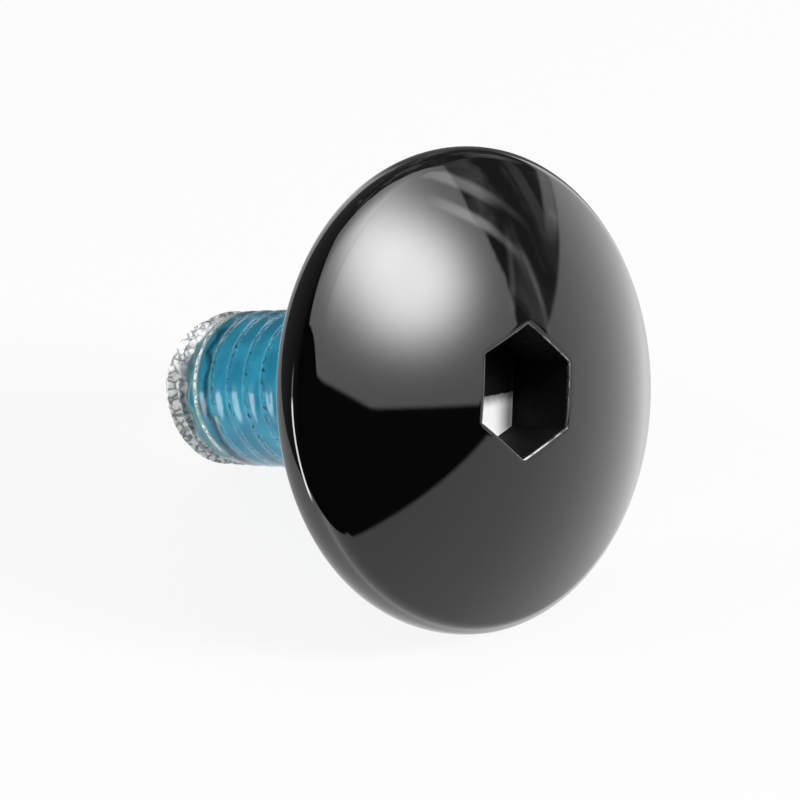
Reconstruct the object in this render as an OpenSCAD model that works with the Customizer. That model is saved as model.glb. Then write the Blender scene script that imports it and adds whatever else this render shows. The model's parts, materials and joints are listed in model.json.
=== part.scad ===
// Button-head machine screw with a hexagon socket, lying on its rim and its tip.
// The origin is the centre of the bearing face under the head, where the screw's axis meets it.

/* [Head] */
// Diameter of the head over its rim
head_d = 17; // [15:0.5:20]
// Height of the dome above the bearing face
head_h = 3.6; // [3.2:0.1:4.5]
// Height at which the rim's straight side ends
rim_h = 1.1; // [1:0.1:1.5]
// Rounding from the rim into the dome
rim_round = 0.8; // [0.4:0.1:1]
// Rounding from the rim into the bearing face
seat_round = 0.45; // [0.2:0.05:0.7]

/* [Socket] */
// Width across the flats of the hexagon
socket_af = 4; // [3:0.5:5]
// Depth from the top of the dome to the socket's floor
socket_depth = 2.9; // [2:0.1:3.2]
// Width of the bevel round the socket's mouth
socket_bevel = 0.1; // [0.05:0.01:0.2]
// Turn of the socket about the screw's axis, in degrees
socket_turn = 35; // [0:1:59]

/* [Shank] */
// Length from the bearing face to the tip
length = 14; // [10:1:30]
// Diameter of the plain neck, which is the nominal thread diameter
neck_d = 6; // [5:0.5:8]
// Length of the plain neck under the head
neck_l = 2; // [1:0.25:3]
// Fillet between the neck and the bearing face
neck_fillet = 0.3; // [0.1:0.05:0.6]
// Diameter of the flat end of the tip
tip_d = 4.6; // [3:0.1:4.6]
// Length of the taper at the tip, over which the thread grows to its full height
tip_lead = 1; // [0.6:0.1:2]

/* [Thread] */
// Pitch of the thread
pitch = 1; // [0.75:0.05:1.25]
// How much smaller the thread's crest diameter is than the neck
crest_play = 0.03; // [0.02:0.01:0.1]
// Straight lengths in one turn of the thread
turn_steps = 24; // [16:4:36]

/* [Hidden] */
$fn = 96;

head_r = head_d / 2;
neck_r = neck_d / 2;
tip_r = tip_d / 2;

// The dome is a sphere that meets the rim's rounding without a step
rim_round_r = head_r - rim_round;
dome_rise = head_h - rim_h;
dome_r = (rim_round_r ^ 2 + dome_rise ^ 2 - rim_round ^ 2) / (2 * (dome_rise - rim_round));
dome_edge_r = rim_round_r * dome_r / (dome_r - rim_round);

// The socket's corners, and the height of the dome there
socket_r = socket_af / 2 / cos(30);
mouth_h = head_h - dome_r + sqrt(dome_r ^ 2 - socket_r ^ 2);
floor_h = head_h - socket_depth;

// A 60 degree metric thread: an eighth of the pitch is flat at the crest
flank = 30;
crest_r = neck_r - crest_play / 2;
crest_w = pitch / 8;
thread_h = 17 / 48 * sqrt(3) * pitch;
root_r = crest_r - thread_h;
// The ridge reaches this far into the core, so that the two are one solid
root_sink = 0.1 * pitch;

// The screw rests on the rounding under its rim and on the thread's first full crest,
// so its axis leans up towards the head
rest_l = length - tip_lead + crest_w / 2;
rest_span = [head_r - seat_round - crest_r, rest_l + seat_round];
lean = atan2(rest_span[0], rest_span[1]) + asin(seat_round / norm(rest_span));

// Half the width of the thread's ridge at a radius
function half_ridge(r) = crest_w / 2 + (crest_r - r) * tan(flank);

// Radius of the taper at the tip at a height, up to the full crest
function lead_r(z) = min(crest_r, tip_r + (crest_r - tip_r) * (z + length) / tip_lead);

// The ridge starts inside the core at the tip, and ends inside the neck.
// Step 0 points straight down, at the first full crest
first_step = -floor((tip_lead - half_ridge(root_r)) / pitch * turn_steps);
last_step = ceil((length - tip_lead - neck_l + half_ridge(root_r)) / pitch * turn_steps);
fade_steps = turn_steps / 4;
ridge_steps = last_step - first_step;

// Height of the ridge's middle at a step
function ridge_z(step) = tip_lead - length + pitch * step / turn_steps;

// Radius of the ridge's crest at a step, which fades in from inside the core
function ridge_r(step) =
    let (shown = min(1, (step - first_step) / fade_steps))
    let (start_r = root_r - root_sink / 2)
    start_r + (lead_r(ridge_z(step)) - start_r) * shown;

// The four corners of the ridge's section at a step
function ridge_section(step) =
    let (turn = 360 * step / turn_steps)
    let (outer = ridge_r(step), inner = root_r - root_sink)
    let (half_out = half_ridge(outer), half_in = half_ridge(root_r))
    let (corners = [[inner, -half_in], [outer, -half_out], [outer, half_out], [inner, half_in]])
    [for (c = corners) [c[0] * cos(turn), c[0] * sin(turn), ridge_z(step) + c[1]]];

// Two triangles that join one side of a section to the next section
function ridge_side(i, k) =
    let (a = 4 * i + k, b = 4 * i + (k + 1) % 4)
    [[a, b, a + 4], [b, b + 4, a + 4]];

// The upper right quarter of a disc
module quarter(r) {
    intersection() {
        circle(r);
        square(r);
    }
}

// Half of the head's section, from the axis outwards
module head_section() {
    intersection() {
        translate([0, head_h - dome_r])
            circle(dome_r);
        translate([0, rim_h])
            square([dome_edge_r, dome_rise]);
    }
    translate([rim_round_r, rim_h])
        quarter(rim_round);
    translate([0, seat_round])
        square([head_r, rim_h - seat_round]);
    translate([head_r - seat_round, seat_round])
        mirror([0, 1])
            quarter(seat_round);
    square([head_r - seat_round, seat_round]);
}

// Half of the shank's section: neck, fillet and the core that carries the thread
module shank_section() {
    translate([0, -neck_l])
        square([neck_r, neck_l]);
    difference() {
        translate([0, -neck_fillet])
            square([neck_r + neck_fillet, neck_fillet]);
        translate([neck_r + neck_fillet, -neck_fillet])
            circle(neck_fillet);
    }
    polygon([
        [0, -neck_l],
        [neck_r, -neck_l],
        [root_r, -neck_l - (neck_r - root_r)],
        [root_r, root_r > tip_r ? (root_r - tip_r) * tip_lead / (crest_r - tip_r) - length : -length],
        [min(root_r, tip_r), -length],
        [0, -length]
    ]);
}

// The ridge of the thread, wound on the core
module thread() {
    sections = [for (step = [first_step : last_step]) each ridge_section(step)];
    sides = [for (i = [0 : ridge_steps - 1], k = [0 : 3]) each ridge_side(i, k)];
    near_end = [3, 2, 1, 0];
    far_end = [for (k = [0 : 3]) 4 * ridge_steps + k];
    polyhedron(sections, concat([near_end], sides, [far_end]));
}

// The hexagon socket with its bevelled mouth
module socket() {
    rotate(socket_turn) {
        translate([0, 0, floor_h])
            cylinder(r = socket_r, h = head_h, $fn = 6);
        translate([0, 0, mouth_h - socket_bevel])
            cylinder(r1 = socket_r, r2 = socket_r + head_h, h = head_h, $fn = 6);
    }
}

// The whole screw, one piece of steel
module screw() {
    color("#1d1d1f")
        rotate([0, 90 - lean, 0])
            difference() {
                union() {
                    rotate_extrude()
                        head_section();
                    rotate_extrude()
                        shank_section();
                    thread();
                }
                socket();
            }
}

screw();
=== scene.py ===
"""Looks of a button-head screw: gloss black head, hexagon socket, and a blue locking coat on its thread.

The screw is modelled in millimetres in its own frame. Its axis is +Z, the bearing face under the head is at
z = 0, the dome rises above that face and the shank hangs below it. The finished mesh is then laid on the
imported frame's own axis, in metres.
"""

import json
import logging
import math
from dataclasses import dataclass, field
from enum import Enum
from typing import ClassVar

import bmesh
import bpy
from mathutils import Matrix, Vector, noise


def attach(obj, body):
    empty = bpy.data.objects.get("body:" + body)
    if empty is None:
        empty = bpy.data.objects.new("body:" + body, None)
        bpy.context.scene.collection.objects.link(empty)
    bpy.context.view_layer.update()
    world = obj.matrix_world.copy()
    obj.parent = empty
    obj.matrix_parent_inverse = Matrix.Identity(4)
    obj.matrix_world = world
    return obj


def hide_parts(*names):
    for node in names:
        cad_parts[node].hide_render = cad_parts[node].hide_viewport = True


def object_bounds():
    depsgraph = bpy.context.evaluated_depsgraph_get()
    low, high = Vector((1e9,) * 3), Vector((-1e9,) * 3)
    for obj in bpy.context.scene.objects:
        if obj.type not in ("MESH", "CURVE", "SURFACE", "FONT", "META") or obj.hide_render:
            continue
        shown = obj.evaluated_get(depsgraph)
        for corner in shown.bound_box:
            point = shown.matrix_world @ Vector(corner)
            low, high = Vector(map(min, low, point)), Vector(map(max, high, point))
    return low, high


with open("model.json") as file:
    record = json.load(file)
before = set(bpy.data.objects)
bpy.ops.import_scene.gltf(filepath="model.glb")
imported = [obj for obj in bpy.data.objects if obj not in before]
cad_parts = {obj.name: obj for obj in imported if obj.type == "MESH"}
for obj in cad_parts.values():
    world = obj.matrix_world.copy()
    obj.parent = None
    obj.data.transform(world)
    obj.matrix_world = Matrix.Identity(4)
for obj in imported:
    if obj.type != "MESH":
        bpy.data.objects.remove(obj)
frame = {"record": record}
CAD_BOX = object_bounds()

LOG = logging.getLogger("screw")
MM = 0.001
FULL_TURN = 2 * math.pi
ORIGIN = Vector((0, 0, 0))
AXIS = Vector((0, 0, 1))
WELD = 1e-4
# Where soft noise has its middle, and between which values most of it lies
NOISE_MIDDLE = 0.5
NOISE_SPAN = (0.3, 0.7)

Colour = tuple[float, float, float]
Way = tuple[float, float, float]
Span = tuple[float, float]
Edges = list[bmesh.types.BMEdge]
Output = bpy.types.NodeSocket


class Surface(Enum):
    """The finish that a face of the screw carries, as its place among the mesh's material slots."""

    HEAD_PAINT = 0
    SOCKET_WALL = 1
    SOCKET_FLOOR = 2
    MOUTH_EDGE = 3
    THREAD = 4


class CellPattern(Enum):
    """What a pattern of cells measures, by Blender's name for it."""

    FROM_MIDDLE = "SMOOTH_F1"
    FROM_EDGE = "DISTANCE_TO_EDGE"


def smoothstep(value: float, low: float, high: float) -> float:
    """Eases from 0 to 1 as a value goes from one limit to another.

    Args:
        value: The value to ease.
        low: Where the result is 0.
        high: Where the result is 1.

    Returns:
        The eased share, from 0 to 1.
    """
    share = min(1.0, max(0.0, (value - low) / (high - low)))
    return share * share * (3 - 2 * share)


def heading(azimuth: float, elevation: float) -> Vector:
    """Turns a compass bearing into a direction; azimuth 0 looks to -Y and 90 to +X.

    Args:
        azimuth: Bearing round the screw, in degrees.
        elevation: Angle above the horizon, in degrees.

    Returns:
        The unit vector that points that way.
    """
    turn = math.radians(azimuth)
    rise = math.radians(elevation)
    return Vector((math.sin(turn) * math.cos(rise), -math.cos(turn) * math.cos(rise), math.sin(rise)))


class ProfilePen:
    """Draws half of a turned section as a chain of edges in the plane y = 0, and turns it on the axis."""

    def __init__(self, mesh: bmesh.types.BMesh, radius: float, height: float) -> None:
        """Sets the pen down.

        Args:
            mesh: The mesh to draw in.
            radius: Distance of the first point from the axis.
            height: Height of the first point.
        """
        self.mesh = mesh
        self.older = set(mesh.verts)
        self.tip = mesh.verts.new((radius, 0, height))

    def line(self, radius: float, height: float, parts: int) -> None:
        """Draws a straight run.

        Args:
            radius: Distance of the run's end from the axis.
            height: Height of the run's end.
            parts: Edges in the run.
        """
        start = self.tip.co.copy()
        end = Vector((radius, 0, height))
        for part in range(1, parts + 1):
            self.tip = bmesh.ops.extrude_vert_indiv(self.mesh, verts=[self.tip])["verts"][0]
            self.tip.co = start.lerp(end, part / parts)

    def arc(self, radius: float, height: float, turn: float, parts: int) -> None:
        """Draws a round stretch.

        Args:
            radius: Distance of the arc's centre from the axis.
            height: Height of the arc's centre.
            turn: Angle of the arc in radians, from outwards to upwards.
            parts: Edges in the arc.
        """
        made = bmesh.ops.spin(
            self.mesh, geom=[self.tip], cent=(radius, 0, height), axis=(0, -1, 0), angle=turn, steps=parts
        )
        self.tip = next(part for part in made["geom_last"] if isinstance(part, bmesh.types.BMVert))

    def revolve(self, steps: int, rise: float = 0.0) -> None:
        """Turns the drawn section once round the axis.

        Args:
            steps: Flats in the turn.
            rise: How far the section climbs in the turn, as a thread does.
        """
        drawn = [vert for vert in self.mesh.verts if vert not in self.older]
        edges = {edge for vert in drawn for edge in vert.link_edges}
        chain = drawn + sorted(edges, key=lambda edge: min(vert.co.z for vert in edge.verts))
        bmesh.ops.spin(
            self.mesh, geom=chain, cent=ORIGIN, axis=AXIS, dvec=AXIS * rise / steps,
            angle=FULL_TURN, steps=steps, use_merge=not rise
        )


def close_ring(mesh: bmesh.types.BMesh, ring: Edges, levels: list[Span]) -> list[bmesh.types.BMVert]:
    """Closes an opening round the axis with rings that step inwards to its middle.

    Args:
        mesh: The mesh to build in.
        ring: Edges of the opening.
        levels: Each new ring's share of the opening's width, and its height. The middle is as high
            as the last ring.

    Returns:
        The new vertices.
    """
    closed = []
    size = 1.0
    for share, height in levels:
        made = bmesh.ops.extrude_edge_only(mesh, edges=ring)["geom"]
        verts = [part for part in made if isinstance(part, bmesh.types.BMVert)]
        bmesh.ops.scale(mesh, verts=verts, vec=(share / size, share / size, 1))
        for vert in verts:
            vert.co.z = height
        closed += verts
        ring = [part for part in made if isinstance(part, bmesh.types.BMEdge) and part.is_boundary]
        size = share
    bmesh.ops.pointmerge(mesh, verts=verts, merge_co=(0, 0, height))
    return [vert for vert in closed if vert.is_valid]


@dataclass
class ButtonHead:
    """The domed head with its rounded rim, bearing face and plain neck. Sizes in millimetres.

    The rim's side swells a little. It meets the rounding above it at the join, an angle in degrees. The
    collar is the radius at which the dome stops and the socket's own mesh begins.
    """

    diameter: float = 17.0
    height: float = 3.6
    rim_height: float = 1.1
    rim_round: float = 0.8
    seat_round: float = 0.45
    side_round: float = 1.85
    side_swell: float = 0.02
    side_join: float = 13.7
    neck_diameter: float = 6.0
    neck_length: float = 2.0
    neck_fillet: float = 0.3
    collar: float = 3.1
    steps: int = 168

    @property
    def radius(self) -> float:
        """Radius over the rim."""
        return self.diameter / 2

    @property
    def neck_radius(self) -> float:
        """Radius of the plain neck."""
        return self.neck_diameter / 2

    @property
    def dome_radius(self) -> float:
        """Radius of the sphere that tops the head and meets the rim's rounding without a step."""
        reach = self.radius - self.rim_round
        rise = self.height - self.rim_height
        return (reach ** 2 + rise ** 2 - self.rim_round ** 2) / (2 * (rise - self.rim_round))

    @property
    def dome_centre(self) -> float:
        """Height of the centre of the dome's sphere."""
        return self.height - self.dome_radius

    def dome_height(self, radius: float) -> float:
        """Height of the dome at a distance from the axis."""
        return self.dome_centre + math.sqrt(self.dome_radius ** 2 - radius ** 2)

    def build(self, mesh: bmesh.types.BMesh) -> Edges:
        """Turns the head from the end of its neck up to a round opening in the dome.

        Args:
            mesh: The mesh to build in.

        Returns:
            The edges of the opening.
        """
        join = math.radians(self.side_join)
        side_reach = self.radius + self.side_swell - self.side_round
        rim_reach = side_reach + (self.side_round - self.rim_round) * math.cos(join)
        rim_level = self.dome_centre + math.sqrt((self.dome_radius - self.rim_round) ** 2 - rim_reach ** 2)
        side_level = rim_level - (self.side_round - self.rim_round) * math.sin(join)
        foot = math.asin((side_level - self.seat_round) / (self.side_round - self.seat_round))
        seat_reach = side_reach + (self.side_round - self.seat_round) * math.cos(foot)
        rim_turn = math.atan2(rim_level - self.dome_centre, rim_reach)
        dome_turn = math.acos(self.collar / self.dome_radius) - rim_turn
        pen = ProfilePen(mesh, self.neck_radius, -self.neck_length)
        pen.line(self.neck_radius, -self.neck_fillet, parts=4)
        pen.arc(self.neck_radius + self.neck_fillet, -self.neck_fillet, -math.pi / 2, parts=6)
        pen.line(seat_reach, 0, parts=8)
        pen.arc(seat_reach, self.seat_round, math.pi / 2 - foot, parts=8)
        pen.arc(side_reach, side_level, foot + join, parts=8)
        pen.arc(rim_reach, rim_level, rim_turn - join, parts=14)
        pen.arc(0, self.dome_centre, dome_turn, parts=24)
        pen.revolve(self.steps)
        top = self.dome_height(self.collar) - WELD
        return [edge for edge in mesh.edges if edge.is_boundary and min(v.co.z for v in edge.verts) > top]


@dataclass
class HexSocket:
    """The hexagon socket in the dome, with a softened mouth. Sizes in millimetres."""

    across_flats: float = 4.0
    floor_height: float = 0.7
    mouth_bevel: float = 0.1
    floor_round: float = 0.05
    floor_dish: float = 0.1
    floor_rings: tuple[Span, ...] = ((0.5, 0.5), (0.05, 1.0))
    paint_limit: float = 0.85
    turn: float = 35.0
    sides: int = 6
    side_parts: int = 28
    dome_rings: int = 3

    def build(self, mesh: bmesh.types.BMesh, head: ButtonHead, opening: Edges) -> None:
        """Closes the dome's opening with the socket.

        Args:
            mesh: The mesh to build in.
            head: The head that carries the socket.
            opening: Edges of the round opening in the dome.
        """
        mouth = self._mouth(mesh)
        self._join_dome(mesh, head, opening, mouth)
        floor = self._walls(mesh, mouth)
        self._floor(mesh, floor)
        softened = bmesh.ops.bevel(
            mesh, geom=mouth, offset=self.mouth_bevel, offset_type="OFFSET", segments=3, profile=0.5,
            affect="EDGES", material=-1, clamp_overlap=True
        )
        for face in softened["faces"]:
            face.normal_update()
            painted = abs(face.normal.z) > self.paint_limit
            face.material_index = (Surface.HEAD_PAINT if painted else Surface.MOUTH_EDGE).value

    def _mouth(self, mesh: bmesh.types.BMesh) -> Edges:
        """Draws the hexagon.

        Args:
            mesh: The mesh to build in.

        Returns:
            The hexagon's edges, each side cut into short parts.
        """
        half_side = math.pi / self.sides
        radius = self.across_flats / 2 / math.cos(half_side)
        turned = Matrix.Rotation(math.radians(self.turn) - half_side, 4, "Z")
        corners = bmesh.ops.create_circle(mesh, segments=self.sides, radius=radius, matrix=turned)["verts"]
        sides = list({edge for vert in corners for edge in vert.link_edges})
        sides.sort(key=lambda edge: math.atan2(*(edge.verts[0].co + edge.verts[1].co).xy))
        cut = bmesh.ops.subdivide_edges(mesh, edges=sides, cuts=self.side_parts - 1)
        return [part for part in cut["geom"] if isinstance(part, bmesh.types.BMEdge)]

    def _join_dome(self, mesh: bmesh.types.BMesh, head: ButtonHead, opening: Edges, mouth: Edges) -> None:
        """Carries the dome's curve from the round opening to the hexagon.

        Args:
            mesh: The mesh to build in.
            head: The head that carries the socket.
            opening: Edges of the round opening.
            mouth: Edges of the hexagon.
        """
        made = bmesh.ops.bridge_loops(mesh, edges=opening + mouth)
        loops = set(opening + mouth)
        spokes = [edge for edge in made["edges"] if edge not in loops]
        cut = bmesh.ops.subdivide_edges(mesh, edges=spokes, cuts=self.dome_rings, use_grid_fill=True)
        rings = {part for part in cut["geom"] if isinstance(part, bmesh.types.BMVert)}
        for vert in rings | {vert for edge in mouth for vert in edge.verts}:
            vert.co.z = head.dome_height(vert.co.xy.length)

    def _walls(self, mesh: bmesh.types.BMesh, mouth: Edges) -> Edges:
        """Sinks the socket's flat walls.

        Args:
            mesh: The mesh to build in.
            mouth: Edges of the hexagon on the dome.

        Returns:
            Edges of the hexagon at the foot of the walls.
        """
        foot = bmesh.ops.extrude_edge_only(mesh, edges=mouth)["geom"]
        for vert in (part for part in foot if isinstance(part, bmesh.types.BMVert)):
            vert.co.z = self.floor_height + self.floor_round
        for face in (part for part in foot if isinstance(part, bmesh.types.BMFace)):
            face.material_index = Surface.SOCKET_WALL.value
        return [part for part in foot if isinstance(part, bmesh.types.BMEdge) and part.is_boundary]

    def _floor(self, mesh: bmesh.types.BMesh, foot: Edges) -> None:
        """Closes the socket with its dished floor.

        Args:
            mesh: The mesh to build in.
            foot: Edges of the hexagon at the foot of the walls.
        """
        levels = [(1 - self.floor_round / (self.across_flats / 2), self.floor_height)]
        levels += [(share, self.floor_height - depth * self.floor_dish) for share, depth in self.floor_rings]
        for vert in close_ring(mesh, foot, levels):
            for face in vert.link_faces:
                face.material_index = Surface.SOCKET_FLOOR.value


@dataclass
class LockingCoat:
    """The blue coat that fills the thread, with ragged ends.

    Sizes are in millimetres, and heights are measured from the bearing face. A bead is given by its height,
    its width and how dark it is.
    """

    neck_end: float = -2.7
    neck_fade: float = 0.5
    tip_end: float = -13.5
    tip_fade: float = 2.1
    blue_end: float = -13.0
    blue_fade: float = 2.8
    crest_wear: float = 1.1
    wear_patch: float = 0.4
    beads: tuple[tuple[float, float, float], ...] = ((-10.75, 0.22, 1.0), (-12.15, 0.2, 0.7))
    ragged: float = 0.3
    ragged_layers: tuple[float, float, int] = (0.8, 2.0, 4)
    patch: float = 0.9
    film: float = 0.018
    deep: float = 0.32
    pool: Span = (0.25, 0.55)
    slant: float = 0.75
    sag: float = 0.09
    lumps: float = 0.15
    lump: float = 0.8

    def _height(self, place: Vector) -> float:
        """Height of a point, shifted so that the coat's ends come out ragged."""
        return place.z + self.ragged * noise.fractal(place / self.patch, *self.ragged_layers)

    def _cover(self, height: float, end: float, fade: float) -> float:
        """Share to which the coat covers a height, between its ends near the tip and near the neck."""
        from_neck = smoothstep(height, self.neck_end, self.neck_end - self.neck_fade)
        return smoothstep(height, end, end + fade) * from_neck

    def fill(self, place: Vector) -> float:
        """Share of the thread's depth that the coat fills.

        Args:
            place: A point on the shank.

        Returns:
            1 where the thread is full, 0 where the steel is bare.
        """
        return self._cover(self._height(place), self.tip_end, self.tip_fade)

    def blue(self, place: Vector, crest: float) -> float:
        """Finds how strongly the coat hides the steel.

        Args:
            place: A point on the shank.
            crest: 1 on a crest, where the coat ends sooner, and 0 in the groove.

        Returns:
            1 under full blue, 0 on bare steel.
        """
        wear = self.crest_wear * (1 + noise.noise(place / self.wear_patch))
        return self._cover(self._height(place) - wear * crest, self.blue_end, self.blue_fade)

    def pooled(self, place: Vector, depth: float) -> float:
        """Finds how strongly the coat that has run into the groove hides the steel.

        Args:
            place: A point on the shank.
            depth: Depth of the coat there.

        Returns:
            0 on bare steel, and more where the coat is deep.
        """
        thin, gain = self.pool
        return smoothstep(depth, 0.0, self.deep) * (thin + gain * self.blue(place, 0.0))

    def bead(self, place: Vector) -> float:
        """Finds the dark beads along which the coat ends.

        Args:
            place: A point on the shank.

        Returns:
            How dark the coat is there, from 0 to 1.
        """
        height = self._height(place)
        return max(dark * math.exp(-((height - middle) / width) ** 2) for middle, width, dark in self.beads)

    def level(self, place: Vector, phase: float, crest: float, root: float) -> float:
        """Radius of the coat's own surface.

        Args:
            place: A point on the shank.
            phase: Share of the way from one crest to the next one towards the head.
            crest: Radius of the crests.
            root: Radius at the bottom of the groove.

        Returns:
            The radius up to which the coat stands.
        """
        lumps = 1 + self.lumps * noise.noise(place / self.lump)
        dip = min(phase / self.slant, (1 - phase) / (1 - self.slant))
        full = crest + self.film - self.sag * lumps * smoothstep(dip, 0.0, 1.0)
        return root + (full - root) * self.fill(place)


@dataclass
class ThreadedShank:
    """The rolled thread with its tapered tip and its locking coat. Sizes in millimetres.

    The depth is a share of the height of a sharp thread, and the flat on the crest is a share of the pitch.
    """

    head: ButtonHead
    coat: LockingCoat = field(default_factory=LockingCoat)
    length: float = 14.0
    pitch: float = 1.0
    flank_angle: float = 30.0
    depth_share: float = 17 / 24
    crest_share: float = 1 / 8
    crest_edge: Span = (0.1, 0.25)
    crest_play: float = 0.03
    tip_diameter: float = 4.6
    tip_lead: float = 1.0
    tip_dish: float = 0.25
    tip_rings: tuple[Span, ...] = ((0.86, 0.0), (0.55, 0.7), (0.2, 1.0))
    tip_worn: float = 0.8
    root_round: float = 0.06
    rows: int = 28

    @property
    def crest(self) -> float:
        """Radius of the crests."""
        return self.head.neck_radius - self.crest_play / 2

    @property
    def root(self) -> float:
        """Radius of the groove's bottom."""
        return self.crest - self.depth_share * self.pitch / 2 / math.tan(math.radians(self.flank_angle))

    @property
    def first_crest(self) -> float:
        """Height of the first full crest, where the taper ends."""
        return self.tip_lead - self.length

    def build(self, mesh: bmesh.types.BMesh) -> None:
        """Winds the thread, from the tip to the end of the neck.

        Args:
            mesh: The mesh to build in, still empty.
        """
        turns = math.ceil((self.length - self.head.neck_length) / self.pitch) + 1
        pen = ProfilePen(mesh, self.crest, -self.length - self.pitch)
        pen.line(self.crest, -self.length + (turns - 1) * self.pitch, parts=turns * self.rows)
        pen.revolve(self.head.steps, rise=self.pitch)
        bmesh.ops.remove_doubles(mesh, verts=mesh.verts, dist=WELD)
        self._shape(mesh)
        bmesh.ops.remove_doubles(mesh, verts=mesh.verts, dist=WELD)
        self._close_tip(mesh)
        for face in mesh.faces:
            face.material_index = Surface.THREAD.value

    def _shape(self, mesh: bmesh.types.BMesh) -> None:
        """Moves each point of the wound tube out or in to the thread's form and its coat.

        Args:
            mesh: The mesh that holds the wound tube.
        """
        coat_layer = mesh.verts.layers.float.new("coat")
        crest_layer = mesh.verts.layers.float.new("crest")
        bead_layer = mesh.verts.layers.float.new("bead")
        for vert in mesh.verts:
            height = min(-self.head.neck_length, max(-self.length, vert.co.z))
            around = math.atan2(vert.co.y, vert.co.x)
            turn = (height - self.first_crest) / self.pitch - around / FULL_TURN
            from_crest = abs(turn - round(turn)) * self.pitch
            steel = self._steel(height, from_crest)
            place = Vector((math.cos(around) * self.crest, math.sin(around) * self.crest, height))
            lead = self._lead(height)
            level = self.coat.level(place, turn - math.floor(turn), min(self.crest, lead), self.root)
            radius = max(steel, min(level, lead + self.coat.film))
            if height == -self.head.neck_length:
                radius = self.head.neck_radius
            crest = 1 - smoothstep(from_crest, *self.crest_edge)
            on_taper = 1 - smoothstep(height, self.first_crest, self.first_crest + self.tip_worn)
            vert[coat_layer] = max(self.coat.blue(place, crest), self.coat.pooled(place, radius - steel))
            vert[bead_layer] = self.coat.bead(place)
            vert[crest_layer] = max(crest, on_taper)
            vert.co = Vector((math.cos(around) * radius, math.sin(around) * radius, height))

    def _lead(self, height: float) -> float:
        """Radius of the taper at the tip."""
        tip = self.tip_diameter / 2
        return tip + (self.crest - tip) * min(1.0, (height + self.length) / self.tip_lead)

    def _steel(self, height: float, from_crest: float) -> float:
        """Radius of the bare thread.

        Args:
            height: Height on the shank.
            from_crest: Distance from the nearest crest along the axis.

        Returns:
            The radius of crest, flank, root or run-out, within the taper at the tip.
        """
        past_flat = from_crest - self.crest_share * self.pitch / 2
        flank = self.crest - past_flat / math.tan(math.radians(self.flank_angle))
        run_out = self.head.neck_radius - (-self.head.neck_length - height)
        lift = max(0.0, self.root_round - abs(flank - self.root)) ** 2 / (4 * self.root_round)
        thread = min(self.crest, max(flank, self.root) + lift)
        return min(max(thread, run_out), self._lead(height))

    def _close_tip(self, mesh: bmesh.types.BMesh) -> None:
        """Closes the tip with the shallow dish that rolling leaves there.

        Args:
            mesh: The mesh that holds the shaped thread.
        """
        crest_layer = mesh.verts.layers.float["crest"]
        low = -self.length + WELD
        ring = [edge for edge in mesh.edges if edge.is_boundary and max(v.co.z for v in edge.verts) < low]
        levels = [(share, depth * self.tip_dish - self.length) for share, depth in self.tip_rings]
        for vert in close_ring(mesh, ring, levels):
            vert[crest_layer] = 0.0


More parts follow.
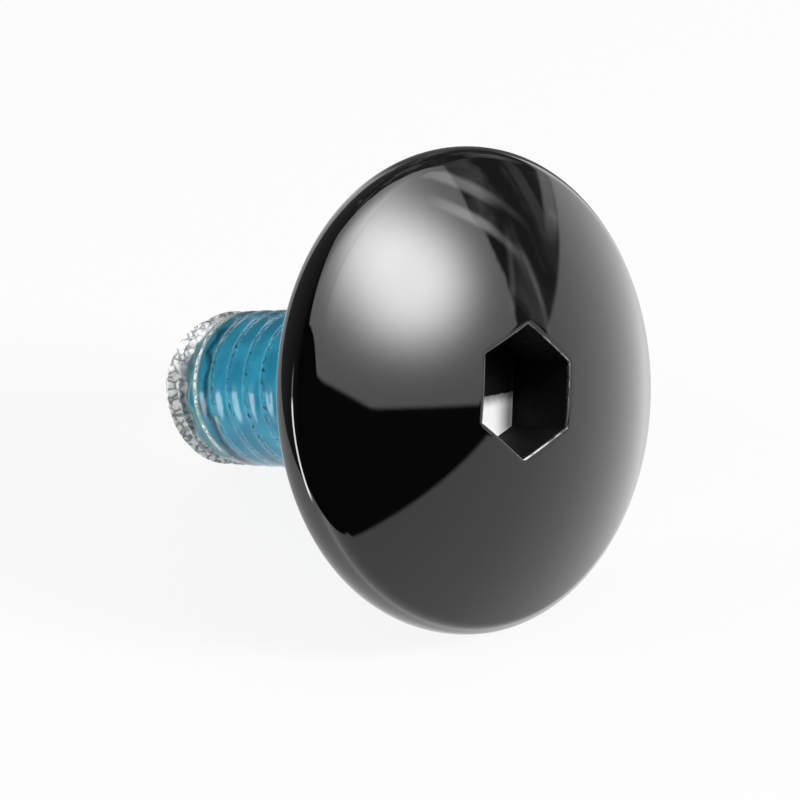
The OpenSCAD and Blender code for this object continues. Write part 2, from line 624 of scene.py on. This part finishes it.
class NodeSheet:
    """A node tree with short calls to add nodes and join them."""

    def __init__(self, tree: bpy.types.NodeTree) -> None:
        """Empties the tree."""
        self.tree = tree
        tree.nodes.clear()

    def add(self, kind: str, inputs: dict | None = None, **settings: object) -> bpy.types.Node:
        """Adds a node.

        Args:
            kind: Blender's name for the type of node.
            inputs: What goes into its sockets, by name or number: a value, or another node's output.
            settings: The node's own properties.

        Returns:
            The new node.
        """
        node = self.tree.nodes.new(kind)
        for name, value in settings.items():
            setattr(node, name, value)
        for name, value in (inputs or {}).items():
            if isinstance(value, bpy.types.NodeSocket):
                self.tree.links.new(value, node.inputs[name])
            else:
                node.inputs[name].default_value = value
        return node

    def math(self, operation: str, first: object, second: object) -> Output:
        """Joins two numbers, or outputs that give numbers.

        Args:
            operation: Blender's name for the sum.
            first: A number or an output.
            second: A number or an output.

        Returns:
            The output with the result.
        """
        return self.add("ShaderNodeMath", {0: first, 1: second}, operation=operation).outputs[0]

    def dot(self, way: object, along: object) -> Output:
        """Measures how far a direction points along another one.

        Args:
            way: The output with the direction.
            along: The vector to measure along.

        Returns:
            The output with the length.
        """
        node = self.add("ShaderNodeVectorMath", {0: way, 1: along}, operation="DOT_PRODUCT")
        return node.outputs["Value"]

    def bell(self, value: object, power: float) -> Output:
        """Falls smoothly from 1 to 0.

        Args:
            value: The output to read, 0 in the middle of the bell.
            power: How steep its sides are.

        Returns:
            The output with the result.
        """
        wide = self.math("POWER", value, power)
        return self.math("EXPONENT", self.math("MULTIPLY", wide, -1), 0)

    def blend(self, share: object, first: object, second: object) -> Output:
        """Blends two colours.

        Args:
            share: The output with the second colour's share.
            first: A colour or an output.
            second: A colour or an output.

        Returns:
            The output with the blend.
        """
        node = self.add("ShaderNodeMix", data_type="RGBA")
        for place, value in ((0, share), (6, first), (7, second)):
            if isinstance(value, bpy.types.NodeSocket):
                self.tree.links.new(value, node.inputs[place])
            else:
                node.inputs[place].default_value = (*value, 1)
        return node.outputs[2]

    def ease(self, value: object, low: float, high: float, start: float = 0.0, end: float = 1.0) -> Output:
        """Eases an output from one number to another.

        Args:
            value: The output to ease.
            low: Where the result is at its start.
            high: Where the result is at its end.
            start: The result up to the low limit.
            end: The result past the high limit.

        Returns:
            The output with the result.
        """
        inputs = {"Value": value, "From Min": low, "From Max": high, "To Min": start, "To Max": end}
        return self.add("ShaderNodeMapRange", inputs, interpolation_type="SMOOTHSTEP").outputs[0]

    def layer(self, name: str) -> Output:
        """Reads one of the numbers that the mesh carries at its vertices."""
        return self.add("ShaderNodeAttribute", attribute_name=name).outputs["Fac"]

    def mix(self, share: object, first: object, second: object) -> Output:
        """Goes from one number to another as a share goes from 0 to 1."""
        return self.add("ShaderNodeMix", {0: share, 2: first, 3: second}).outputs[0]

    def line(self, value: object, levels: Span) -> Output:
        """Grows evenly with an output, from its level at 0 and by its gain."""
        level, gain = levels
        return self.add("ShaderNodeMath", {0: value, 1: gain, 2: level}, operation="MULTIPLY_ADD").outputs[0]

    def bump(self, height: Output, depth: float) -> Output:
        """Adds relief to a finish.

        Args:
            height: The output with the relief's height.
            depth: How far the relief stands out where that height is 1, in millimetres.

        Returns:
            The output with the bent normal.
        """
        inputs = {"Height": height, "Strength": 1.0, "Distance": depth * MM}
        return self.add("ShaderNodeBump", inputs).outputs[0]

    def noise(self, where: Output, grain: float, detail: float = 3.0) -> Output:
        """Adds soft noise.

        Args:
            where: The output with the coordinates.
            grain: Size of the noise's patches, in millimetres.
            detail: How many finer layers it has.

        Returns:
            The output with the noise, about 0.5 in the middle.
        """
        inputs = {"Vector": where, "Scale": 1 / (grain * MM), "Detail": detail}
        return self.add("ShaderNodeTexNoise", inputs).outputs[0]


@dataclass(frozen=True)
class Finish:
    """A finish of the screw, with a shader that reads the screw's own coordinates. Sizes in millimetres."""

    name: ClassVar[str]

    def material(self) -> bpy.types.Material:
        """Makes the finish.

        Returns:
            The finished material.
        """
        made = bpy.data.materials.new(self.name)
        made.use_nodes = True
        sheet = NodeSheet(made.node_tree)
        where = sheet.add("ShaderNodeTexCoord").outputs["Object"]
        shader = sheet.add("ShaderNodeBsdfPrincipled", self.inputs(sheet, where))
        sheet.add("ShaderNodeOutputMaterial", {"Surface": shader.outputs[0]})
        return made

    def inputs(self, sheet: NodeSheet, where: Output) -> dict[str, object]:
        """Works out what goes into the shader.

        Args:
            sheet: The material's nodes.
            where: The output with the coordinates.

        Returns:
            A value or an output for each of the shader's sockets, by name.
        """
        raise NotImplementedError


@dataclass(frozen=True)
class GlossBlack(Finish):
    """Black paint with a deep gloss and a faint ripple."""

    name: ClassVar[str] = "gloss_black"
    colour: Colour = (0.0012, 0.0011, 0.0013)
    ior: float = 1.5
    gloss: Span = (0.02, 0.035)
    gloss_patch: float = 2.5
    ripple: float = 0.9
    ripple_detail: float = 2.0
    ripple_depth: float = 0.0003

    def inputs(self, sheet: NodeSheet, where: Output) -> dict[str, object]:
        """Mixes the paint.

        Args:
            sheet: The material's nodes.
            where: The output with the coordinates.

        Returns:
            The shader's inputs.
        """
        ripple = sheet.noise(where, self.ripple, self.ripple_detail)
        return {
            "Base Color": (*self.colour, 1),
            "Roughness": sheet.ease(sheet.noise(where, self.gloss_patch), *NOISE_SPAN, *self.gloss),
            "IOR": self.ior,
            "Normal": sheet.bump(ripple, self.ripple_depth),
        }


@dataclass(frozen=True)
class SocketBlack(Finish):
    """Dull black on the walls of the socket."""

    name: ClassVar[str] = "socket_black"
    colour: Colour = (0.0012, 0.0012, 0.0013)
    rough: Span = (0.5, 0.7)
    grain: float = 0.3
    sheen: float = 0.1

    def inputs(self, sheet: NodeSheet, where: Output) -> dict[str, object]:
        """Mixes the black.

        Args:
            sheet: The material's nodes.
            where: The output with the coordinates.

        Returns:
            The shader's inputs.
        """
        return {
            "Base Color": (*self.colour, 1),
            "Roughness": sheet.ease(sheet.noise(where, self.grain), *NOISE_SPAN, *self.rough),
            "Specular IOR Level": self.sheen,
        }


@dataclass(frozen=True)
class SocketFloor(Finish):
    """The floor of the socket: black, with a bright patch on its lower side. The patch is a painted pool of
    the key lamp's light, drawn as bare steel that goes from grey at its dim top to bright below.
    """

    name: ClassVar[str] = "socket_floor"
    # The way along which the painted pool of light grows brighter; start, edge and fade place it, and grey
    # is its painted dim edge.
    way: Vector
    start: float = 0.35
    edge: float = 0.05
    fade: float = 0.5
    ragged: float = 0.12
    black: Colour = (0.0012, 0.0012, 0.0013)
    painted_shade_grey: Colour = (0.2, 0.2, 0.2)
    steel: Colour = (0.95, 0.95, 0.95)
    grain: float = 0.18
    relief: float = 0.008
    rough: Span = (0.4, 0.6)
    sheen: float = 0.1

    def inputs(self, sheet: NodeSheet, where: Output) -> dict[str, object]:
        """Mixes the floor's black and the painted pool of light, drawn as steel.

        Args:
            sheet: The material's nodes.
            where: The output with the coordinates.

        Returns:
            The shader's inputs.
        """
        grain = sheet.noise(where, self.grain)
        # Painted light: the bright part is a painted pool of the key lamp's light, grey at its dim top and
        # bright steel below.
        along = sheet.math("MULTIPLY", sheet.dot(where, self.way), 1 / MM)
        along = sheet.math("ADD", along, sheet.math("MULTIPLY", grain, self.ragged))
        bare = sheet.ease(along, self.start, self.start + self.edge)
        metal = sheet.blend(sheet.ease(along, self.start, self.start + self.fade), self.painted_shade_grey, self.steel)
        return {
            "Base Color": sheet.blend(bare, self.black, metal),
            "Roughness": sheet.ease(grain, *NOISE_SPAN, *self.rough),
            "Specular IOR Level": self.sheen,
            "Normal": sheet.bump(grain, self.relief),
        }


@dataclass(frozen=True)
class WornEdgeAndHighlight(Finish):
    """The edge of the socket's mouth, where a key has rubbed the black off. Leaning the bare steel to one
    side paints a highlight on that side.
    """

    name: ClassVar[str] = "worn_edge_and_highlight"
    way: Vector
    black: Colour = (0.003, 0.003, 0.003)
    steel: Colour = (0.2, 0.2, 0.2)
    grain: float = 0.45
    # How far the wear leans to one side along its way, which paints a highlight on that side of the mouth.
    highlight_lean: float = 0.05
    worn: Span = (0.45, 0.65)
    least: float = 0.08
    rough: Span = (0.08, 0.3)

    def inputs(self, sheet: NodeSheet, where: Output) -> dict[str, object]:
        """Mixes the edge's black and steel.

        Args:
            sheet: The material's nodes.
            where: The output with the coordinates.

        Returns:
            The shader's inputs.
        """
        # Painted highlight: leaning the bare steel to one side puts the mouth's glint there.
        highlight_lean = sheet.math("MULTIPLY", sheet.dot(where, self.way), self.highlight_lean / MM)
        worn = sheet.math("ADD", sheet.noise(where, self.grain), highlight_lean)
        bare = sheet.ease(worn, *self.worn, self.least, 1.0)
        return {
            "Base Color": sheet.blend(bare, self.black, self.steel),
            "Metallic": bare,
            "Roughness": sheet.ease(bare, 0.0, 1.0, *self.rough),
        }


@dataclass(frozen=True)
class CoatedThread(Finish):
    """Bright zinc, and over it the blue coat: teal where it is thin, with bubbles along the crests.

    The mesh says how thick the coat is, from 0 to 1. Each span of that thickness is where one look goes over
    to the next one.
    """

    name: ClassVar[str] = "coated_thread"
    zinc: Colour = (0.95, 0.96, 0.96)
    zinc_dark: Colour = (0.26, 0.28, 0.28)
    thin: Colour = (0.27, 0.42, 0.38)
    teal: Colour = (0.03, 0.2, 0.26)
    blue: Colour = (0.018, 0.22, 0.35)
    light_blue: Colour = (0.03, 0.31, 0.46)
    deep_blue: Colour = (0.006, 0.06, 0.1)
    thin_span: Span = (0.05, 0.25)
    teal_span: Span = (0.25, 0.55)
    blue_span: Span = (0.55, 0.9)
    zinc_span: Span = (0.1, 0.5)
    gloss_span: Span = (0.1, 0.6)
    grain: float = 0.3
    seam: Span = (0.02, 0.24)
    seam_breaks: Span = (0.3, 0.52)
    bubble: float = 0.17
    specks: Span = (0.54, 0.66)
    patch: float = 1.1
    patches: Span = (0.35, 0.65)
    relief: float = 0.05
    gloss: Span = (0.32, 0.12)
    crest_rough: float = 0.27
    metal: float = 0.1
    sheen: Span = (0.15, 0.25)

    def inputs(self, sheet: NodeSheet, where: Output) -> dict[str, object]:
        """Lays the coat over the zinc.

        Args:
            sheet: The material's nodes.
            where: The output with the coordinates.

        Returns:
            The shader's inputs.
        """
        coat, crest, bead = (sheet.layer(name) for name in ("coat", "crest", "bead"))
        gloss = sheet.ease(coat, *self.gloss_span, *self.gloss)
        bare = sheet.ease(coat, *self.zinc_span, 1.0, 0.0)
        grains = self._cells(sheet, where, self.grain, CellPattern.FROM_MIDDLE)
        bubbles = self._cells(sheet, where, self.bubble, CellPattern.FROM_MIDDLE)
        relief = sheet.mix(bare, bubbles, grains)
        colour = sheet.blend(sheet.ease(coat, *self.teal_span), self.thin, self.teal)
        colour = sheet.blend(sheet.ease(coat, *self.thin_span), self._zinc(sheet, where, crest), colour)
        colour = sheet.blend(sheet.ease(coat, *self.blue_span), colour, self._blue(sheet, where, crest))
        return {
            "Base Color": sheet.blend(bead, colour, self.deep_blue),
            "Metallic": sheet.ease(coat, *self.zinc_span, self.metal, 0.0),
            "Roughness": sheet.math("MAXIMUM", gloss, sheet.math("MULTIPLY", crest, self.crest_rough)),
            "Specular IOR Level": sheet.ease(coat, *self.zinc_span, *self.sheen),
            "Normal": sheet.bump(sheet.math("MULTIPLY", relief, crest), -self.relief),
        }

    def _zinc(self, sheet: NodeSheet, where: Output, crest: Output) -> Output:
        """Colours the bare zinc, which is cracked along the crests.

        Args:
            sheet: The material's nodes.
            where: The output with the coordinates.
            crest: The output that is 1 on a crest.

        Returns:
            The output with the colour.
        """
        from_edge = self._cells(sheet, where, self.grain, CellPattern.FROM_EDGE)
        breaks = sheet.ease(sheet.noise(where, self.grain), *self.seam_breaks)
        seams = sheet.math("MULTIPLY", sheet.ease(from_edge, *self.seam, 1.0, 0.0), breaks)
        return sheet.blend(sheet.math("MULTIPLY", seams, crest), self.zinc, self.zinc_dark)

    def _blue(self, sheet: NodeSheet, where: Output, crest: Output) -> Output:
        """Colours the full coat, with dark specks along the crests.

        Args:
            sheet: The material's nodes.
            where: The output with the coordinates.
            crest: The output that is 1 on a crest.

        Returns:
            The output with the colour.
        """
        patches = sheet.ease(sheet.noise(where, self.patch), *self.patches)
        specks = sheet.math("MULTIPLY", sheet.ease(sheet.noise(where, self.bubble), *self.specks), crest)
        return sheet.blend(specks, sheet.blend(patches, self.blue, self.light_blue), self.deep_blue)

    def _cells(self, sheet: NodeSheet, where: Output, size: float, pattern: CellPattern) -> Output:
        """Adds a pattern of rounded cells.

        Args:
            sheet: The material's nodes.
            where: The output with the coordinates.
            size: Width of a cell, in millimetres.
            pattern: What is measured.

        Returns:
            The output with the distance.
        """
        inputs = {"Vector": where, "Scale": 1 / (size * MM)}
        return sheet.add("ShaderNodeTexVoronoi", inputs, feature=pattern.value).outputs["Distance"]


@dataclass
class Screw:
    """The whole screw, one piece of steel with its finishes."""

    head: ButtonHead = field(default_factory=ButtonHead)
    socket: HexSocket = field(default_factory=HexSocket)
    smooth_angle: float = 40.0
    # Which way the socket floor's painted pool of light grows.
    painted_light_way: Way = (0.97, -0.243, 0.0)
    # Which way the mouth's wear and its painted highlight lean.
    wear_and_highlight_way: Way = (0.78, 0.62, 0.0)

    def build(self) -> bpy.types.Object:
        """Models the screw, lays it on the frame's axis and dresses it.

        Returns:
            The screw's object.
        """
        mesh = bmesh.new()
        ThreadedShank(self.head).build(mesh)
        opening = self.head.build(mesh)
        bmesh.ops.remove_doubles(mesh, verts=mesh.verts, dist=WELD)
        opening = [edge for edge in opening if edge.is_valid]
        self.socket.build(mesh, self.head, opening)
        for face in mesh.faces:
            height = face.calc_center_median().z
            if -self.head.neck_length < height < -self.head.neck_fillet / 2:
                face.material_index = Surface.THREAD.value
        bmesh.ops.recalc_face_normals(mesh, faces=mesh.faces)
        bmesh.ops.transform(mesh, matrix=self._lying(), verts=mesh.verts)
        return self._dress(mesh)

    def _lying(self) -> Matrix:
        """Finds how the screw lies.

        Returns:
            The matrix from the screw's own frame in millimetres to the part's frame in metres.
        """
        bearing = next(mount for mount in frame["record"]["mounts"] if mount["name"] == "bearing_face")
        along = -Vector(bearing["axis"]).normalized()
        across = Vector((0, 1, 0))
        turned = Matrix((across.cross(along), across, along)).transposed().to_4x4()
        return Matrix.Translation(bearing["pos_m"]) @ turned @ Matrix.Scale(MM, 4)

    def _dress(self, mesh: bmesh.types.BMesh) -> bpy.types.Object:
        """Makes the object and gives it its finishes.

        Args:
            mesh: The finished shape.

        Returns:
            The screw's object.
        """
        data = bpy.data.meshes.new("screw_body")
        mesh.to_mesh(data)
        mesh.free()
        turned = self._lying().to_3x3().normalized()
        floor = SocketFloor(turned @ Vector(self.painted_light_way))
        edge = WornEdgeAndHighlight(turned @ Vector(self.wear_and_highlight_way))
        for finish in (GlossBlack(), SocketBlack(), floor, edge, CoatedThread()):
            data.materials.append(finish.material())
        data.shade_smooth()
        data.set_sharp_from_angle(angle=math.radians(self.smooth_angle))
        piece = bpy.data.objects.new("screw_body", data)
        bpy.context.scene.collection.objects.link(piece)
        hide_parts("screw")
        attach(piece, "root")
        return piece


@dataclass
class StudioView:
    """The camera, at the photograph's viewing angle. Lengths in millimetres, angles in degrees."""

    azimuth: float = 43.627
    elevation: float = 31.652
    distance: float = 86.58
    aim: Way = (-1.346, -1.522, -0.28)
    lens: float = 110.74

    def build(self) -> bpy.types.Object:
        """Sets the camera up.

        Returns:
            The camera's object.
        """
        data = bpy.data.cameras.new("studio_view")
        data.lens = self.lens
        data.clip_start = MM
        back = heading(self.azimuth, self.elevation)
        camera = bpy.data.objects.new("studio_view", data)
        camera.location = (Vector(self.aim) + back * self.distance) * MM
        camera.rotation_mode = "QUATERNION"
        camera.rotation_quaternion = (-back).to_track_quat("-Z", "Y")
        bpy.context.scene.collection.objects.link(camera)
        bpy.context.scene.camera = camera
        return camera


@dataclass(frozen=True)
class LightStrip:
    """A straight strip of light in the mirrored room, by the headings of its two ends."""

    ends: tuple[Span, Span]
    half: float
    light: float

    def build(self, sheet: NodeSheet, ahead: Output, blur: float) -> Output:
        """Works the strip's light out for each direction.

        Args:
            sheet: The world's nodes.
            ahead: The output with the direction.
            blur: Softness of the strip's border.

        Returns:
            The output with the strip's light.
        """
        low, high = (heading(*end) for end in self.ends)
        middle = (low + high).normalized()
        across = sheet.math("ABSOLUTE", sheet.dot(ahead, low.cross(high).normalized()), 0)
        wide = sheet.ease(across, self.half - blur, self.half + blur, self.light, 0.0)
        reach = middle.dot(low)
        long = sheet.ease(sheet.dot(ahead, middle), reach - blur, reach + blur)
        return sheet.math("MULTIPLY", wide, long)


@dataclass(frozen=True)
class MirroredRoom:
    """What the gloss mirrors: a white table, a soft box, a cloth overhead, a strip lamp and dark cards.

    An edge is a plane through the screw. It is given by the direction at right angles to it, which points
    to the brighter side.
    """

    edge_blur: float = 0.012
    dark: Span = (0.02, 0.22)
    dark_way: Way = (-1.0, 0.0, 0.0)
    dark_span: Span = (0.2, 0.95)
    table_edges: tuple[Way, ...] = ((-0.1081, 0.2142, -1.0), (0.0, 0.461, -0.887))
    table_glare: Way = (-1.0, 0.0, -0.35)
    glare_place: float = 0.05
    glare_half: float = 0.3
    table_light: Span = (1.38, 2.75)
    shade_heading: float = 215.0
    shade_edge: Span = (0.9, 0.96)
    shade_light: float = 0.15
    lit_edges: tuple[Way, ...] = ((-0.29, 0.353, 0.889), (-0.2165, 0.751, 0.6254), (0.566, 0.58, 0.585))
    wall_edge: Way = (0.543, -0.684, 0.486)
    wall_ragged: float = 0.14
    wall_fray: float = 2.4
    wall_wisps: float = 3.5
    wall_span: Span = (0.47, 0.72)
    wall_light: Span = (0.18, 1.2)
    wisp_detail: float = 4.0
    wisp_twist: float = 1.0
    box_heading: Span = (116.4, 35.4)
    box_tilt: float = -16.7
    box_half: Span = (0.262, 0.222)
    box_fade: float = 1.459
    box_light: float = 20.3
    cloth_light: Span = (7.1, 13.6)
    cloth_half: float = 0.312
    cloth_rise: Span = (0.567, 0.923)
    haze: Span = (1.85, 1.3)
    strip_lamp: tuple[LightStrip, ...] = (
        LightStrip(((-36.0, 2.0), (-21.5, -30.0)), 0.032, 20.0),
        LightStrip(((-39.5, 10.0), (-36.0, 2.0)), 0.024, 5.0),
    )
    cloth_folds: tuple[LightStrip, ...] = (
        LightStrip(((148.0, 41.0), (152.3, 28.0)), 0.022, 3.6),
        LightStrip(((153.0, 29.0), (154.0, 22.0)), 0.014, 1.0),
        LightStrip(((142.0, 35.5), (145.2, 27.0)), 0.02, 5.0),
        LightStrip(((145.0, 28.0), (146.5, 20.0)), 0.014, 2.2),
        LightStrip(((145.0, 20.0), (139.0, 16.5)), 0.012, 1.4),
        LightStrip(((165.0, 21.0), (160.0, 15.0)), 0.03, 0.7),
        LightStrip(((146.0, 13.2), (144.3, 9.8)), 0.013, 2.4),
        LightStrip(((178.0, 13.4), (160.0, 11.6)), 0.03, 1.4),
    )

    def build(self, sheet: NodeSheet, ahead: Output) -> Output:
        """Works the room's light out for each direction.

        Args:
            sheet: The world's nodes.
            ahead: The output with the direction.

        Returns:
            The output with the light from there.
        """
        lit = self._within(sheet, ahead, self.lit_edges)
        dark = sheet.ease(sheet.dot(ahead, self.dark_way), *self.dark_span, *self.dark)
        upper = sheet.mix(lit, dark, self._upper(sheet, ahead))
        on_table = self._within(sheet, ahead, self.table_edges)
        room = sheet.mix(on_table, upper, self._table(sheet, ahead))
        for strip in self.strip_lamp + self.cloth_folds:
            room = sheet.math("ADD", room, strip.build(sheet, ahead, self.edge_blur))
        return room

    def _upper(self, sheet: NodeSheet, ahead: Output) -> Output:
        """Lights the upper half of the room, with a far wall whose edge is frayed.

        Args:
            sheet: The world's nodes.
            ahead: The output with the direction.

        Returns:
            The output with the light from there.
        """
        haze = sheet.math("MAXIMUM", sheet.line(sheet.dot(ahead, AXIS), self.haze), 0)
        lamps = sheet.math("ADD", self._box(sheet, ahead), self._cloth(sheet, ahead))
        fray = sheet.math("SUBTRACT", self._wisps(sheet, ahead, self.wall_fray), NOISE_MIDDLE)
        fray = sheet.math("MULTIPLY", fray, self.wall_ragged)
        front = sheet.math("ADD", sheet.dot(ahead, self.wall_edge), fray)
        front = sheet.ease(front, -self.edge_blur, self.edge_blur)
        wall = sheet.ease(self._wisps(sheet, ahead, self.wall_wisps), *self.wall_span, *self.wall_light)
        return sheet.mix(front, wall, sheet.math("ADD", lamps, haze))

    def _within(self, sheet: NodeSheet, ahead: Output, edges: tuple[Way, ...]) -> Output:
        """Finds what lies on the bright side of every edge.

        Args:
            sheet: The world's nodes.
            ahead: The output with the direction.
            edges: The edges.

        Returns:
            The output that is 1 within the edges and 0 beyond any of them.
        """
        share = sheet.ease(sheet.dot(ahead, edges[0]), -self.edge_blur, self.edge_blur)
        for edge in edges[1:]:
            side = sheet.ease(sheet.dot(ahead, edge), -self.edge_blur, self.edge_blur)
            share = sheet.math("MULTIPLY", share, side)
        return share

    def _wisps(self, sheet: NodeSheet, ahead: Output, scale: float) -> Output:
        """Adds uneven streaks to the far wall."""
        inputs = {
            "Vector": ahead, "Scale": scale, "Detail": self.wisp_detail, "Distortion": self.wisp_twist
        }
        return sheet.add("ShaderNodeTexNoise", inputs).outputs[0]

    def _table(self, sheet: NodeSheet, ahead: Output) -> Output:
        """Lays the white table, with a glare on it behind the head.

        Args:
            sheet: The world's nodes.
            ahead: The output with the direction.

        Returns:
            The output with the table's light.
        """
        away = sheet.math("SUBTRACT", sheet.dot(ahead, self.table_glare), self.glare_place)
        away = sheet.math("MULTIPLY", sheet.math("ABSOLUTE", away, 0), 1 / self.glare_half)
        light = sheet.line(sheet.bell(away, 1.0), self.table_light)
        far = sheet.dot(ahead, heading(self.shade_heading, 0.0))
        return sheet.math("MULTIPLY", light, sheet.ease(far, *self.shade_edge, 1.0, self.shade_light))

    def _box(self, sheet: NodeSheet, ahead: Output) -> Output:
        """Hangs the soft box beside the head.

        Args:
            sheet: The world's nodes.
            ahead: The output with the direction.

        Returns:
            The output with the box's light.
        """
        middle = heading(*self.box_heading)
        side = AXIS.cross(middle).normalized()
        turned = Matrix.Rotation(math.radians(self.box_tilt), 3, middle)
        wide = turned @ side
        tall = turned @ middle.cross(side)
        across = sheet.dot(ahead, wide / self.box_half[0])
        along = sheet.dot(ahead, tall / self.box_half[1])
        away = sheet.math("ADD", *(sheet.math("MULTIPLY", way, way) for way in (across, along)))
        light = sheet.math("MULTIPLY", sheet.bell(away, self.box_fade), self.box_light)
        return sheet.math("MULTIPLY", light, sheet.math("GREATER_THAN", sheet.dot(ahead, middle), 0))

    def _cloth(self, sheet: NodeSheet, ahead: Output) -> Output:
        """Stretches the lit cloth from the soft box to the point overhead.

        Args:
            sheet: The world's nodes.
            ahead: The output with the direction.

        Returns:
            The output with the cloth's light.
        """
        level = heading(self.box_heading[0], 0.0)
        light = sheet.math("MAXIMUM", sheet.line(sheet.dot(ahead, level), self.cloth_light), 0)
        across = sheet.dot(ahead, AXIS.cross(level) / self.cloth_half)
        light = sheet.math("MULTIPLY", light, sheet.bell(sheet.math("MULTIPLY", across, across), 1.0))
        return sheet.math("MULTIPLY", light, sheet.ease(sheet.dot(ahead, AXIS), *self.cloth_rise))


@dataclass(frozen=True)
class SoftLamp:
    """A round soft lamp. Lengths in metres, angles in degrees.

    The level is how bright a white card that faces the lamp looks.
    """

    name: str
    towards: Span
    level: float
    distance: float = 0.3
    size: float = 0.15

    def build(self) -> None:
        """Hangs the lamp. The gloss shows the mirrored room in its place."""
        data = bpy.data.lights.new(self.name, "AREA")
        data.shape = "DISK"
        data.size = self.size
        data.energy = self.level * (math.pi * self.distance) ** 2
        lamp = bpy.data.objects.new(self.name, data)
        way = heading(*self.towards)
        lamp.location = way * self.distance
        lamp.rotation_mode = "QUATERNION"
        lamp.rotation_quaternion = way.to_track_quat("Z", "Y")
        lamp.visible_glossy = False
        bpy.context.scene.collection.objects.link(lamp)


@dataclass
class Studio:
    """A pale floor, two soft lamps, even fill light, and the room that the gloss mirrors."""

    key: SoftLamp = SoftLamp("key", (108.0, 32.0), 0.85, size=0.08)
    side: SoftLamp = SoftLamp("side", (-34.0, 8.0), 0.6)
    room: MirroredRoom = MirroredRoom()
    fill: float = 0.55
    floor_size: float = 3.0
    floor_white: float = 0.88
    floor_grey: Colour = (0.9, 0.9, 0.9)

    def build(self) -> None:
        """Builds the floor, the lamps and the world."""
        bpy.context.scene.view_settings.view_transform = "Standard"
        self._floor()
        self.key.build()
        self.side.build()
        self._world()

    def _floor(self) -> None:
        """Lays the pale floor under the screw."""
        mesh = bmesh.new()
        bmesh.ops.create_grid(mesh, x_segments=1, y_segments=1, size=self.floor_size / 2)
        bmesh.ops.translate(mesh, verts=mesh.verts, vec=(0, 0, CAD_BOX[0].z))
        data = bpy.data.meshes.new("floor")
        mesh.to_mesh(data)
        mesh.free()
        made = bpy.data.materials.new("pale_floor")
        made.use_nodes = True
        sheet = NodeSheet(made.node_tree)
        path = sheet.add("ShaderNodeLightPath").outputs
        seen = sheet.math("MULTIPLY", path["Is Camera Ray"], self.floor_white)
        card = sheet.add("ShaderNodeBsdfDiffuse", {"Color": (*self.floor_grey, 1)})
        white = sheet.add("ShaderNodeEmission", {"Strength": 1.0})
        mixed = sheet.add("ShaderNodeMixShader", {0: seen, 1: card.outputs[0], 2: white.outputs[0]})
        sheet.add("ShaderNodeOutputMaterial", {"Surface": mixed.outputs[0]})
        data.materials.append(made)
        floor = bpy.data.objects.new("floor", data)
        floor.visible_glossy = False
        bpy.context.scene.collection.objects.link(floor)

    def _world(self) -> None:
        """Makes the world: white behind the screw, even fill, and the room in the reflections."""
        world = bpy.data.worlds.new("studio")
        world.use_nodes = True
        world.cycles.sampling_method = "NONE"
        bpy.context.scene.world = world
        sheet = NodeSheet(world.node_tree)
        path = sheet.add("ShaderNodeLightPath").outputs
        ahead = sheet.add("ShaderNodeTexCoord").outputs["Generated"]
        white = sheet.math("MAXIMUM", path["Is Camera Ray"], path["Is Transmission Ray"])
        plain = sheet.mix(white, self.fill, 1.0)
        shown = sheet.mix(path["Is Glossy Ray"], plain, self.room.build(sheet, ahead))
        light = sheet.add("ShaderNodeBackground", {"Strength": shown})
        sheet.add("ShaderNodeOutputWorld", {"Surface": light.outputs[0]})


def main() -> None:
    """Builds the camera, the screw and the studio, in that order."""
    logging.basicConfig(level=logging.INFO)
    StudioView().build()
    piece = Screw().build()
    LOG.info("%s: %d faces", piece.name, len(piece.data.polygons))
    Studio().build()


if __name__ == "__main__":
    main()
